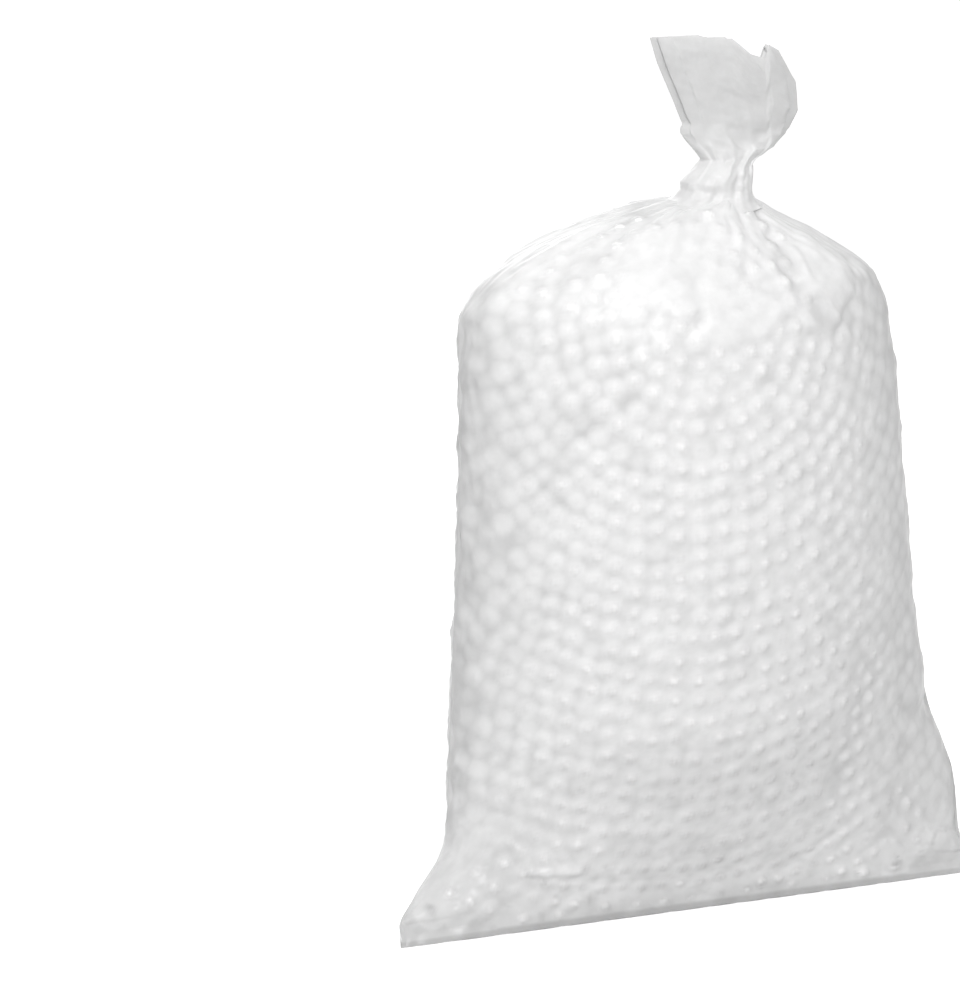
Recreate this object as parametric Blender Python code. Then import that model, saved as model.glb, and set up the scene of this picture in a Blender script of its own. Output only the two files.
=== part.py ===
"""Bag of polystyrene beads, standing up: a lay-flat tube of clear film, welded across its bottom and
knotted at its neck, round a loose fill of white beads. Metres, +Z up. The front faces -Y, and the weld
runs along X."""

import math
from collections import namedtuple

import bmesh
import bpy
import numpy as np

MM = 0.001

# Driving dimensions, in millimetres
FLAT_WIDTH = 200.0  # the empty tube laid flat, which the weld keeps at the bottom
BODY_WIDTH = 156.0  # across the two side creases at half height
BODY_FRONT = 43.0  # from the creases forward, at half height
BODY_BACK = 45.0
SHOULDER_HEIGHT = 204.0  # where the filled body turns in towards the neck
EAR_HEIGHT = 28.0  # the bottom corners stand out up to here
WELD_FORWARD = 24.0  # the weld lies this far in front of the creases
WELD_FIN = 4.5  # double film outside the weld
FILM = 0.1  # one layer of film
NECK_RISE = 28.0  # from the shoulders up to the knot
NECK_SHIFT = 14.0  # the neck stands to the right of the weld's middle
NECK_BACK = 4.0  # and this far behind the creases
KNOT_WIDTH = 25.0
KNOT_DEPTH = 20.0
KNOT_HEIGHT = 10.0
KNOT_WAIST = 18.0  # the tail's width where it leaves the knot
TAIL_LENGTH = 38.0
TAIL_WIDTH = 44.0
TAIL_DEPTH = 14.0
TAIL_SLOPE = 5.5  # the mouth's right end lies this much lower than its left
BEAD_DIAMETER = 7.0
BEAD_CLEARANCE = 0.3  # between the fill and the film

FILM_COLOUR = (0.93, 0.94, 0.95, 0.35)  # the last value is the alpha
FILM_ROUGHNESS = 0.12
BEAD_COLOUR = (0.86, 0.86, 0.86, 1.0)
BEAD_ROUGHNESS = 0.6

COLUMNS = 72  # points round the film
ROWS = 38  # about this many rings from the weld to the mouth
PLEATS = 9  # folds gathered into the neck

# One level of the film. crease, front and back are the (y, z) of its side creases and of its middle in
# front and behind. left and right are half widths, and at the creases alone the film reaches out by ears as
# well. A pinch over 1 narrows the level towards its creases. pleat is the depth of the folds, bore is the
# share of the level that is open inside gathered film, and tilt is how much lower its right end is.
Level = namedtuple(
    "Level",
    "crease front back left right ear_left ear_right pinch pleat bore tilt",
    defaults=(0.0, 0.0, 1.15, 0.0, 1.0, 0.0),
)
EAR_SHARPNESS = 7
WELD_END = 0.25  # inside the weld, in levels, where the two layers part
FILL_START = 0.45  # the beads' lowest and highest levels
FILL_END = 9.7
FILL_CROWN = 2.0  # the heap's rounded top


def bottom_levels():
    """The weld on the floor, the folded-under base and the bottom corners."""
    side = BODY_WIDTH / 2
    reach = FLAT_WIDTH / 2 - side
    weld = -WELD_FORWARD

    def level(crease, front, back, bulge=0, ears=(reach, reach), pinch=1.2):
        """A level whose right half bulges out more than its left."""
        return Level(crease, front, back, side, side + bulge, *ears, pinch)

    return [
        level((weld, FILM), (weld, 2 * FILM), (weld, 0), pinch=1.15),
        level((weld + 3, 5), (weld - 3, 9), (4, -1.5)),
        level((weld + 10, 12), (weld - 9, 23), (34, -5), bulge=6, ears=(reach - 6, reach - 8)),
        level(
            (weld + 20, EAR_HEIGHT),
            (weld - 14, EAR_HEIGHT + 15),
            (BODY_BACK + 2, EAR_HEIGHT - 16),
            bulge=10,
            ears=(1, reach - 12),
        ),
    ]


def body_levels():
    """The filled body up to its shoulders."""
    side = BODY_WIDTH / 2
    rise = SHOULDER_HEIGHT - EAR_HEIGHT

    def level(share, lift, drop, front, back, left, right, ear=0, pinch=1.15):
        """A level at a share of the way up, with how far each part stands out past the half-height size."""
        z = EAR_HEIGHT + share * rise
        lines = (0, z), (-BODY_FRONT - front, z + lift), (BODY_BACK + back, z - drop)
        return Level(*lines, side + left, side + right, 0, ear, pinch)

    return [
        level(0.16, lift=13, drop=11, front=0, back=4, left=-1, right=8, ear=8),
        level(0.43, lift=6, drop=7, front=1, back=3, left=-3, right=5, ear=2),
        level(0.73, lift=3, drop=3, front=-1, back=-1, left=-5, right=2),
        level(0.93, lift=3, drop=0, front=-5, back=-5, left=-6.5, right=-3.5, pinch=1.2),
        level(1.0, lift=3, drop=-2, front=-11, back=-11, left=-9, right=-9),
    ]


def shoulder_levels():
    """The shoulders, drawn together towards the neck."""
    side = BODY_WIDTH / 2

    def level(share, crease, front, back, left, right, pinch, pleat):
        """A level at a share of the way up the slope, with its middle a little above its creases."""
        z = SHOULDER_HEIGHT + share * NECK_RISE
        lines = (crease, z), (front, z + 2), (back, z + 2)
        return Level(*lines, left * side, right * side, pinch=pinch, pleat=pleat)

    return [
        level(0.45, crease=3, front=-22, back=27, left=0.59, right=0.66, pinch=1.05, pleat=0.8),
        level(0.8, crease=4, front=-11, back=19, left=0.21, right=0.41, pinch=1.0, pleat=1.0),
    ]


def neck_levels():
    """The knot and the flared tail above it, with film gathered into folds."""
    neck = SHOULDER_HEIGHT + NECK_RISE
    knot_top = neck + KNOT_HEIGHT
    waist = KNOT_WAIST / KNOT_WIDTH

    def gathered(z, width, depth, shift, pleat, bore, tilt=0.0):
        """A round level, with its middle to the right by NECK_SHIFT and its own shift."""
        middle = NECK_SHIFT + shift
        lines = (NECK_BACK, z), (NECK_BACK - depth / 2, z), (NECK_BACK + depth / 2, z)
        sides = width / 2 - middle, width / 2 + middle
        return Level(*lines, *sides, pinch=1.0, pleat=pleat, bore=bore, tilt=tilt)

    def knot(share, size, depth, shift, pleat, bore):
        return gathered(neck + share * KNOT_HEIGHT, size * KNOT_WIDTH, depth * KNOT_DEPTH, shift, pleat, bore)

    def tail(share, size, depth, shift, pleat, bore):
        z, tilt = knot_top + share * TAIL_LENGTH, share * TAIL_SLOPE
        return gathered(z, size * TAIL_WIDTH, depth * TAIL_DEPTH, shift, pleat, bore, tilt)

    return [
        knot(0, 1.0, 0.9, -1, pleat=0.5, bore=0.2),
        knot(0.45, 0.94, 1.0, 0, pleat=0.3, bore=0.12),
        knot(1, waist, 0.6, 2.5, pleat=0.5, bore=0.2),
        tail(0.12, 0.68, 0.8, 7.5, pleat=0.7, bore=0.8),
        tail(0.4, 0.85, 1.0, 7, pleat=1.0, bore=0.95),
        tail(0.7, 0.96, 1.0, 4, pleat=1.0, bore=0.95),
        tail(1, 0.96, 1.0, 0, pleat=1.0, bore=0.95),
    ]


def smooth(at, values):
    """Reads a smooth curve through values, numbered from 0, that never swings past them."""
    values = np.asarray(values, float)
    steps = np.diff(values)
    slopes = np.zeros(len(values))
    slopes[0], slopes[-1] = steps[0], steps[-1]
    for i in range(1, len(values) - 1):
        if steps[i - 1] * steps[i] > 0:
            slopes[i] = 2 * steps[i - 1] * steps[i] / (steps[i - 1] + steps[i])
    i = min(int(at), len(values) - 2)
    s = at - i
    return (
        (1 + 2 * s) * (1 - s) ** 2 * values[i]
        + s * (1 - s) ** 2 * slopes[i]
        + s * s * (3 - 2 * s) * values[i + 1]
        + s * s * (s - 1) * slopes[i + 1]
    )


class Film:
    """The outer surface of the bag, and surfaces inside it, as rings of points in millimetres."""

    def __init__(self, levels):
        self.fields = {name: [getattr(level, name) for level in levels] for name in Level._fields}
        self.last = len(levels) - 1
        samples = np.linspace(0, self.last, 20 * self.last + 1)
        foremost = min(self.line(at, "front")[0] for at in samples)
        rearmost = max(self.line(at, "back")[0] for at in samples)
        self.middle = (foremost + rearmost) / 2  # the footprint's middle, which is put at y = 0
        self.pitch = sum(self.run(first, first + 1) for first in range(self.last)) / ROWS
        self.stops = [0.0, *self.spread(WELD_END, self.last)]
        self.skin = np.array([self.ring(at) for at in self.stops])
        along = np.roll(self.skin, -1, axis=1) - np.roll(self.skin, 1, axis=1)
        self.out = np.cross(np.gradient(self.skin, axis=0), along)
        self.out /= np.linalg.norm(self.out, axis=2, keepdims=True)
        facing = np.roll(self.skin[:, ::-1], 1, axis=1)  # the point behind or in front of each point
        self.gap = np.linalg.norm(self.skin - facing, axis=2)
        self.gap[:, [0, COLUMNS // 2]] = np.inf  # a crease faces nothing

    def read(self, at, name):
        return smooth(at, self.fields[name])

    def line(self, at, name):
        """The (y, z) of the crease, the front or the back at this level."""
        return np.array([smooth(at, [point[axis] for point in self.fields[name]]) for axis in (0, 1)])

    def run(self, low, high):
        """The straight distance between two levels, in front or behind, whichever is longer."""
        return max(math.dist(self.line(low, name), self.line(high, name)) for name in ("front", "back"))

    def ring(self, at, side_inset=0.0):
        """One closed ring, which starts at the right crease and runs round by the front."""
        crease, front, back = (self.line(at, name) for name in ("crease", "front", "back"))
        left, right = self.read(at, "left"), self.read(at, "right")
        points = []
        for column in range(COLUMNS):
            turn = 2 * math.pi * column / COLUMNS
            across, out = math.cos(turn), math.sin(turn)
            ear = self.read(at, "ear_right" if across > 0 else "ear_left") * abs(across) ** EAR_SHARPNESS
            x = (right - left) / 2 + ((left + right) / 2 - side_inset) * across + math.copysign(ear, across)
            weight = abs(out) ** self.read(at, "pinch")
            y, z = crease + weight * ((front if out > 0 else back) - crease)
            fold = self.read(at, "pleat") * math.cos(PLEATS * turn)
            x, y = x + fold * across, y - fold * out - self.middle
            points.append((x, y, max(z - self.read(at, "tilt") * across / 2, 0.0)))
        return np.array(points)

    def inner_ring(self, index, depth, share, side_inset=0.0):
        """A ring at this depth under the skin, or at a share of the gap where front and back nearly touch."""
        depths = np.minimum(depth, share * self.gap[index])
        return self.ring(self.stops[index], side_inset) - depths[:, None] * self.out[index]

    def spread(self, start, end):
        """Where the rings lie from start to end, in levels, about a pitch apart."""
        found = [start]
        for first in range(int(start), math.ceil(end)):
            low, high = max(first, start), min(first + 1, end)
            count = max(1, round(self.run(low, high) / self.pitch))
            found += [low + (high - low) * (i + 1) / count for i in range(count)]
        return found


def add_ring(mesh, points):
    return [mesh.verts.new([value * MM for value in point]) for point in points]


def skin(mesh, rings, outward=True):
    """Triangles between each ring and the next one up, cut alike outside and inside so that thin walls never cross."""
    for low, high in zip(rings, rings[1:]):
        for i in range(len(low)):
            j = (i + 1) % len(low)
            for corners in ((low[j], low[i], high[i]), (low[j], high[i], high[j])):
                mesh.faces.new(corners if outward else corners[::-1])


def close_flat(mesh, ring, outward=True):
    """Closes a flattened ring with a strip from its front half to its back half."""
    for i in range(len(ring) // 2):
        corners = [ring[i], ring[i + 1], ring[-i - 1], ring[-i]]
        corners = list(dict.fromkeys(corners))  # at a crease the two halves share a point
        mesh.faces.new(corners if outward else corners[::-1])


def close_round(mesh, ring, tip):
    """Closes a ring with a fan round a point above its middle."""
    top = mesh.verts.new([value * MM for value in tip])
    for low, high in zip(ring, ring[1:] + ring[:1]):
        mesh.faces.new((high, low, top))


def make_object(name, mesh, colour, roughness):
    bmesh.ops.recalc_face_normals(mesh, faces=mesh.faces)
    data = bpy.data.meshes.new(name)
    mesh.to_mesh(data)
    mesh.free()
    data.shade_smooth()
    material = bpy.data.materials.new(name)
    material.use_nodes = True
    shader = material.node_tree.nodes["Principled BSDF"]
    shader.inputs["Base Color"].default_value = (*colour[:3], 1.0)
    shader.inputs["Alpha"].default_value = colour[3]
    shader.inputs["Roughness"].default_value = roughness
    shader.inputs["Metallic"].default_value = 0.0
    data.materials.append(material)
    made = bpy.data.objects.new(name, data)
    bpy.context.scene.collection.objects.link(made)
    return made


def make_film_bag(film):
    """One skin of film: closed at the weld, a narrow bore in the knot, and open at the tail's mouth."""
    mesh = bmesh.new()
    outer = [add_ring(mesh, film.skin[0] - np.array([0, WELD_FIN, 0]))]
    outer += [add_ring(mesh, points) for points in film.skin]
    inner = []
    for index in range(1, len(film.stops)):
        hollow = film.inner_ring(index, FILM, 0.3)
        centre = hollow.mean(axis=0)
        inner.append(add_ring(mesh, centre + film.read(film.stops[index], "bore") * (hollow - centre)))
    skin(mesh, outer)
    close_flat(mesh, outer[0])
    skin(mesh, inner, outward=False)
    close_flat(mesh, inner[0], outward=False)
    skin(mesh, [outer[-1], inner[-1]])
    return make_object("film_bag", mesh, FILM_COLOUR, FILM_ROUGHNESS)


def make_bead_fill(film):
    """The beads as one closed solid, which stops short of the creases, the weld and the drawn-up neck."""
    mesh = bmesh.new()
    inset = FILM + BEAD_CLEARANCE
    filled = [index for index, at in enumerate(film.stops) if FILL_START <= at <= FILL_END]
    shapes = [film.inner_ring(index, inset, 0.45, inset + BEAD_DIAMETER / 2) for index in filled]
    rings = [add_ring(mesh, shape) for shape in shapes]
    skin(mesh, rings)
    close_flat(mesh, rings[0])
    close_round(mesh, rings[-1], shapes[-1].mean(axis=0) + np.array([0, 0, FILL_CROWN]))
    return make_object("bead_fill", mesh, BEAD_COLOUR, BEAD_ROUGHNESS)


def main():
    for old in list(bpy.data.objects):
        bpy.data.objects.remove(old, do_unlink=True)
    film = Film(bottom_levels() + body_levels() + shoulder_levels() + neck_levels())
    make_film_bag(film)
    make_bead_fill(film)


main()
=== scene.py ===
"""Looks for the bag of polystyrene beads: clear film over a packed heap of white beads, a knotted neck with
a flared tail, and a plain pale studio. Lengths are in millimetres up to the point where a mesh is made."""

import math
from collections import namedtuple

import bmesh
import bpy
import numpy as np
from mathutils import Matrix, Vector
from mathutils.bvhtree import BVHTree
from mathutils.kdtree import KDTree


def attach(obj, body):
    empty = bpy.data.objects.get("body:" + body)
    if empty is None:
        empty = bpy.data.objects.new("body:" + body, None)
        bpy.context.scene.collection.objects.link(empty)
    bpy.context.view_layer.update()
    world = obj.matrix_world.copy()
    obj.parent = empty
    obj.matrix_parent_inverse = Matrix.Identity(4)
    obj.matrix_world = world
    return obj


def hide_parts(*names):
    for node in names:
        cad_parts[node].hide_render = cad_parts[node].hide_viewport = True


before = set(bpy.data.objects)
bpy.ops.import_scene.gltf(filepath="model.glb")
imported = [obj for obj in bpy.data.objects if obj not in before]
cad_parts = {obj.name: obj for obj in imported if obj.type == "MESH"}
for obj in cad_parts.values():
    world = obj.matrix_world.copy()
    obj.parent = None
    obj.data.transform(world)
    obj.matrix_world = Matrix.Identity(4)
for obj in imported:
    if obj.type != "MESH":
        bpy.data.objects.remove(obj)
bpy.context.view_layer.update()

bl_info = {
    "name": "Bag of Polystyrene Beads",
    "version": (1, 0, 0),
    "blender": (4, 5, 0),
    "location": "View3D > Sidebar > Bead Bag",
    "description": "Builds a knotted clear film bag packed with white polystyrene beads, and its studio",
    "category": "Add Mesh",
}

MM = 0.001

# One level of the film, as in the bag's solid: the (y, z) of its side creases, front and back, its half
# widths, how far its ears reach, and how its folds lie. Levels count from 0 at the weld: 3 is the top of the
# bottom corners, 8 the shoulders, 11 the foot of the knot and 13 its top.
Level = namedtuple(
    "Level",
    "crease front back left right ear_left ear_right pinch pleat",
    defaults=(0.0, 0.0, 1.15, 0.0),
)
EAR_SHARPNESS = 7  # the higher, the closer to its crease an ear sets in
PLEATS = 9


# The kinds of setting that the panel shows


def metres(name, description, default, **limits):
    limits["unit"] = "LENGTH"
    return bpy.props.FloatProperty(name=name, description=description, default=default, **limits)


def fraction(name, description, default, most=1.0):
    limits = {"min": 0.0, "max": most, "subtype": "FACTOR"}
    return bpy.props.FloatProperty(name=name, description=description, default=default, **limits)


def strength(name, description, default, unit="NONE"):
    limits = {"min": 0.0, "unit": unit}
    return bpy.props.FloatProperty(name=name, description=description, default=default, **limits)


def neutral(name, description, level):
    limits = {"min": 0.0, "max": 1.0, "subtype": "COLOR", "size": 3}
    return bpy.props.FloatVectorProperty(name=name, description=description, default=(level,) * 3, **limits)


class BagSizes(bpy.types.PropertyGroup):
    """The sizes that the film is cut, welded and filled to."""

    flat_width: metres("Flat Width", "Width of the empty tube of film laid flat", 0.2, min=0.05)
    body_width: metres("Body Width", "Width of the filled body at half height", 0.156, min=0.04)
    body_front: metres("Body Front", "How far the body bulges in front of its creases", 0.043, min=0.01)
    body_back: metres("Body Back", "How far the body bulges behind its creases", 0.045, min=0.01)
    shoulder_height: metres("Shoulder Height", "Height at which the body turns in", 0.204, min=0.05)
    ear_height: metres("Ear Height", "Height up to which the bottom corners stand out", 0.028, min=0.01)
    weld_forward: metres("Weld Forward", "How far the bottom weld lies in front of the creases", 0.024)
    weld_fin: metres("Weld Fin", "Width of the double film outside the weld", 0.0045)
    neck_rise: metres("Neck Rise", "Height from the shoulders up to the knot", 0.028)
    knot_height: metres("Knot Height", "Height of the knotted neck", 0.01)
    tail_length: metres("Tail Length", "Length of loose film above the knot", 0.04)
    bead_diameter: metres("Bead Diameter", "Diameter of a usual bead", 0.007, min=0.004)
    bead_spread: fraction("Bead Size Spread", "How much beads differ in size", 0.09, most=0.2)
    seed: bpy.props.IntProperty(
        name="Seed", description="Number that fixes how the beads and the small creases fall", default=7
    )


class BagFinish(bpy.types.PropertyGroup):
    """Colours and surface of the film and the beads."""

    bead_colour: neutral("Bead Colour", "Colour of the foam beads", 0.95)
    film_colour: neutral("Film Haze Colour", "Colour of the faint haze in the clear film", 0.94)
    # Painted shade: the darker grey of the film's haze in creases, foot, corners and tail, and edge on
    slack_shade_colour: neutral("Slack Film Colour", "Colour of the haze where the film lies slack", 0.56)
    film_haze: fraction("Film Haze", "How much light one layer of stretched film scatters", 0.9)
    slack_haze: fraction("Slack Film Haze", "How much light one layer of slack film scatters", 0.91)
    contact_clear: fraction("Contact Clearness", "How much clearer it is where it presses on a bead", 0.46)


class StudioSettings(bpy.types.PropertyGroup):
    """Floor, lamps and camera."""

    floor_colour: neutral("Floor Colour", "Colour of the floor and of the backdrop", 0.56)
    key_power: strength("Key Lamp", "Power of the soft lamp above the camera", 7.9, unit="POWER")
    back_power: strength("Back Lamp", "Power of the broad lamp behind the bag", 4.2, unit="POWER")
    sky_level: strength("Room Light", "Level of the even light from all round", 0.662)
    camera_distance: metres("Camera Distance", "From the camera to what it aims at", 0.9007, min=0.3)


def bag_levels(sizes):
    """The film's levels from the weld up to the top of the knot, in millimetres."""
    side, half_flat = sizes.body_width / MM / 2, sizes.flat_width / MM / 2
    reach, weld = half_flat - side, -sizes.weld_forward / MM
    lip = weld - sizes.weld_fin / MM
    ear_height, shoulder = sizes.ear_height / MM, sizes.shoulder_height / MM
    front_bulge, back_bulge = sizes.body_front / MM, sizes.body_back / MM
    neck_rise, knot_height = sizes.neck_rise / MM, sizes.knot_height / MM

    def bottom(crease, front, back, ears, bulge=0, pinch=1.2):
        return Level(crease, front, back, side, side + bulge, *ears, pinch)

    def body(share, lift, drop, front, back, left, right, ear=0, pinch=1.15):
        z = ear_height + share * (shoulder - ear_height)
        lines = (0, z), (-front_bulge - front, z + lift), (back_bulge + back, z - drop)
        return Level(*lines, side + left, side + right, 0, ear, pinch)

    def drawn_in(share, crease, front, back, left, right, pinch, pleat):
        z = shoulder + share * neck_rise
        lines = (crease, z), (front, z + 2), (back, z + 2)
        return Level(*lines, left * side, right * side, pinch=pinch, pleat=pleat)

    def gathered(z, width, depth, middle, pleat):
        lines = (4, z), (4 - depth / 2, z), (4 + depth / 2, z)
        sides = width / 2 - middle, width / 2 + middle
        return Level(*lines, *sides, pinch=1.0, pleat=pleat)

    neck = shoulder + neck_rise
    knot_top = neck + knot_height
    return [
        bottom((lip, 0.1), (lip, 0.2), (lip, 0), ears=(reach + 2, reach), pinch=1.15),
        bottom((lip + 2.5, 6.5), (lip - 0.5, 9), (4, -1.5), ears=(reach + 2, reach)),
        bottom((weld + 7, 13), (weld - 9, 23), (34, -5), bulge=6, ears=(reach - 6, reach - 5)),
        bottom(
            (weld + 20, ear_height),
            (weld - 14, ear_height + 15),
            (back_bulge + 2, ear_height - 16),
            bulge=11,
            ears=(1, reach - 6),
        ),
        body(0.16, lift=13, drop=11, front=0, back=4, left=-1, right=9.5, ear=8),
        body(0.43, lift=6, drop=7, front=1, back=3, left=-3, right=7, ear=2),
        body(0.73, lift=3, drop=3, front=-1, back=-1, left=-4.5, right=2),
        body(0.93, lift=3, drop=0, front=-5, back=-5, left=-4.4, right=-3.2, pinch=1.2),
        body(1.0, lift=3, drop=-2, front=-11, back=-11, left=-9.4, right=-8.5, pinch=1.05),
        drawn_in(0.45, crease=3, front=-22, back=27, left=0.63, right=0.66, pinch=1.0, pleat=0.8),
        drawn_in(0.8, crease=4, front=-11, back=19, left=0.24, right=0.41, pinch=1.0, pleat=1.0),
        gathered(neck - 1, 21.5, 16, 14.75, pleat=0.5),
        gathered(neck + 0.45 * knot_height, 18, 14, 16, pleat=0.3),
        gathered(knot_top, 16, 10, 16.5, pleat=0.5),
    ]


def smooth(at, values):
    """Reads a smooth curve through values, numbered from 0, that never swings past them."""
    values = np.asarray(values, float)
    steps = np.diff(values)
    slopes = np.zeros(len(values))
    slopes[0], slopes[-1] = steps[0], steps[-1]
    for i in range(1, len(values) - 1):
        if steps[i - 1] * steps[i] > 0:
            slopes[i] = 2 * steps[i - 1] * steps[i] / (steps[i - 1] + steps[i])
    at = np.asarray(at, float)
    i = np.clip(at.astype(int), 0, len(values) - 2)
    s = at - i
    return (
        (1 + 2 * s) * (1 - s) ** 2 * values[i]
        + s * (1 - s) ** 2 * slopes[i]
        + s * s * (3 - 2 * s) * values[i + 1]
        + s * s * (s - 1) * slopes[i + 1]
    )


def eased(low, high, values):
    """0 below low and 1 above high, with a soft step between."""
    s = np.clip((np.asarray(values, float) - low) / (high - low), 0, 1)
    return s * s * (3 - 2 * s)


class Skin:
    """The outer surface of the film, as a grid of rings from the weld to the top of the knot."""

    def __init__(self, levels, rings, columns):
        self.fields = {name: [getattr(level, name) for level in levels] for name in Level._fields}
        last = len(levels) - 1
        fine = np.linspace(0, last, 60 * last + 1)
        lines = [np.stack(self.line(fine, name), axis=1) for name in ("front", "back")]
        self.middle = (lines[0][:, 0].min() + lines[1][:, 0].max()) / 2
        run = np.maximum(*[np.linalg.norm(np.diff(line, axis=0), axis=1) for line in lines])
        travel = np.concatenate([[0], np.cumsum(run)])
        self.at = np.interp(np.linspace(0, travel[-1], rings), travel, fine)
        self.turn = 2 * math.pi * np.arange(columns) / columns
        self.points = self.surface(self.at[:, None], self.turn[None, :])
        self.refresh()

    def read(self, at, name):
        return smooth(at, self.fields[name])

    def line(self, at, name):
        return [smooth(at, [point[axis] for point in self.fields[name]]) for axis in (0, 1)]

    def surface(self, at, turn):
        across, out = np.cos(turn), np.sin(turn)
        left, right = self.read(at, "left"), self.read(at, "right")
        ear = np.where(across > 0, self.read(at, "ear_right"), self.read(at, "ear_left"))
        x = (right - left) / 2 + (left + right) / 2 * across
        x = x + np.sign(across) * ear * np.abs(across) ** EAR_SHARPNESS
        weight = np.abs(out) ** self.read(at, "pinch")
        crease, front, back = (self.line(at, name) for name in ("crease", "front", "back"))
        y, z = (c + weight * (np.where(out > 0, f, b) - c) for c, f, b in zip(crease, front, back))
        fold = self.read(at, "pleat") * np.cos(PLEATS * turn)
        x, y = x + fold * across, y - fold * out - self.middle
        return np.stack(np.broadcast_arrays(x, y, np.maximum(z, 0.0)), axis=-1)

    def refresh(self):
        """Works out which way each point faces, and how far off the film's other side is."""
        along = np.roll(self.points, -1, axis=1) - np.roll(self.points, 1, axis=1)
        self.out = np.cross(np.gradient(self.points, axis=0), along)
        self.out /= np.maximum(np.linalg.norm(self.out, axis=2, keepdims=True), 1e-9)
        facing = np.roll(self.points[:, ::-1], 1, axis=1)
        self.gap = np.linalg.norm(self.points - facing, axis=2)


def grid_faces(rings, columns, keep=None):
    """Quads of a grid that closes round its columns."""
    i, j = np.meshgrid(np.arange(rings - 1), np.arange(columns), indexing="ij")
    k = (j + 1) % columns
    low, high = i * columns, (i + 1) * columns
    quads = np.stack([low + k, low + j, high + j, high + k], axis=-1).reshape(-1, 4)
    return quads if keep is None else quads[keep.reshape(-1)[quads].all(axis=1)]


def tree_of(points):
    """A tree that finds which of these points lie near a place."""
    tree = KDTree(len(points))
    for i, point in enumerate(points.tolist()):
        tree.insert(point, i)
    tree.balance()
    return tree


def make_piece(name, points, faces, material):
    """A mesh object from points in millimetres and faces of three or four corners each."""
    mesh = bpy.data.meshes.new(name)
    faces = np.asarray(faces)
    mesh.vertices.add(len(points))
    mesh.vertices.foreach_set("co", (np.asarray(points, float) * MM).astype(np.float32).ravel())
    mesh.loops.add(faces.size)
    mesh.loops.foreach_set("vertex_index", faces.astype(np.int32).ravel())
    mesh.polygons.add(len(faces))
    mesh.polygons.foreach_set("loop_start", np.arange(0, faces.size, faces.shape[1], dtype=np.int32))
    mesh.update(calc_edges=True)
    mesh.validate()
    mesh.shade_smooth()
    mesh.materials.append(material)
    made = bpy.data.objects.new(name, mesh)
    bpy.context.scene.collection.objects.link(made)
    return made


# The heap of beads

ROW_CENTRE = (-7.0, -39.0, 198.5)  # the rows of beads curve round this point on the front
ROW_GAP = 0.96  # from one row to the next, in bead diameters
WALL_PITCH = 0.9  # closest centres that the first laying allows, in bead diameters
FILL_PITCH = 0.86  # the same for beads that are put into the openings left
LEAST_PITCH = 0.8  # the same once all are eased apart
EASED_PITCH = 0.95  # how far apart neighbours are pushed
NESTLE_PITCH = 0.98  # how near a bead of the second layer comes to one of the first
STRAY = 0.08  # how far a bead lies out of its row, in bead diameters
CLEARANCE = 0.1  # from a bead to the film and to the floor
UNDER_DEPTH = 5.0  # how much deeper the second layer lies
SIDE_GAPS = (3.0, 2.2)  # empty film outside the beads at the right and the left crease
LAID_SPAN = (0.2, 10.0)  # the levels of the film between which beads lie
FOOT_HEIGHT = 30.0  # up to here the film narrows to its weld
EAR_START = 82.0  # how far out the bottom corners begin
LEAST_DEPTHS = (0.49, 0.455)  # from a bead's centre to the film, in diameters, in the corners and elsewhere
HEAP_GRID = (260, 480)  # rings and columns of the skin that the beads are laid on


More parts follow.
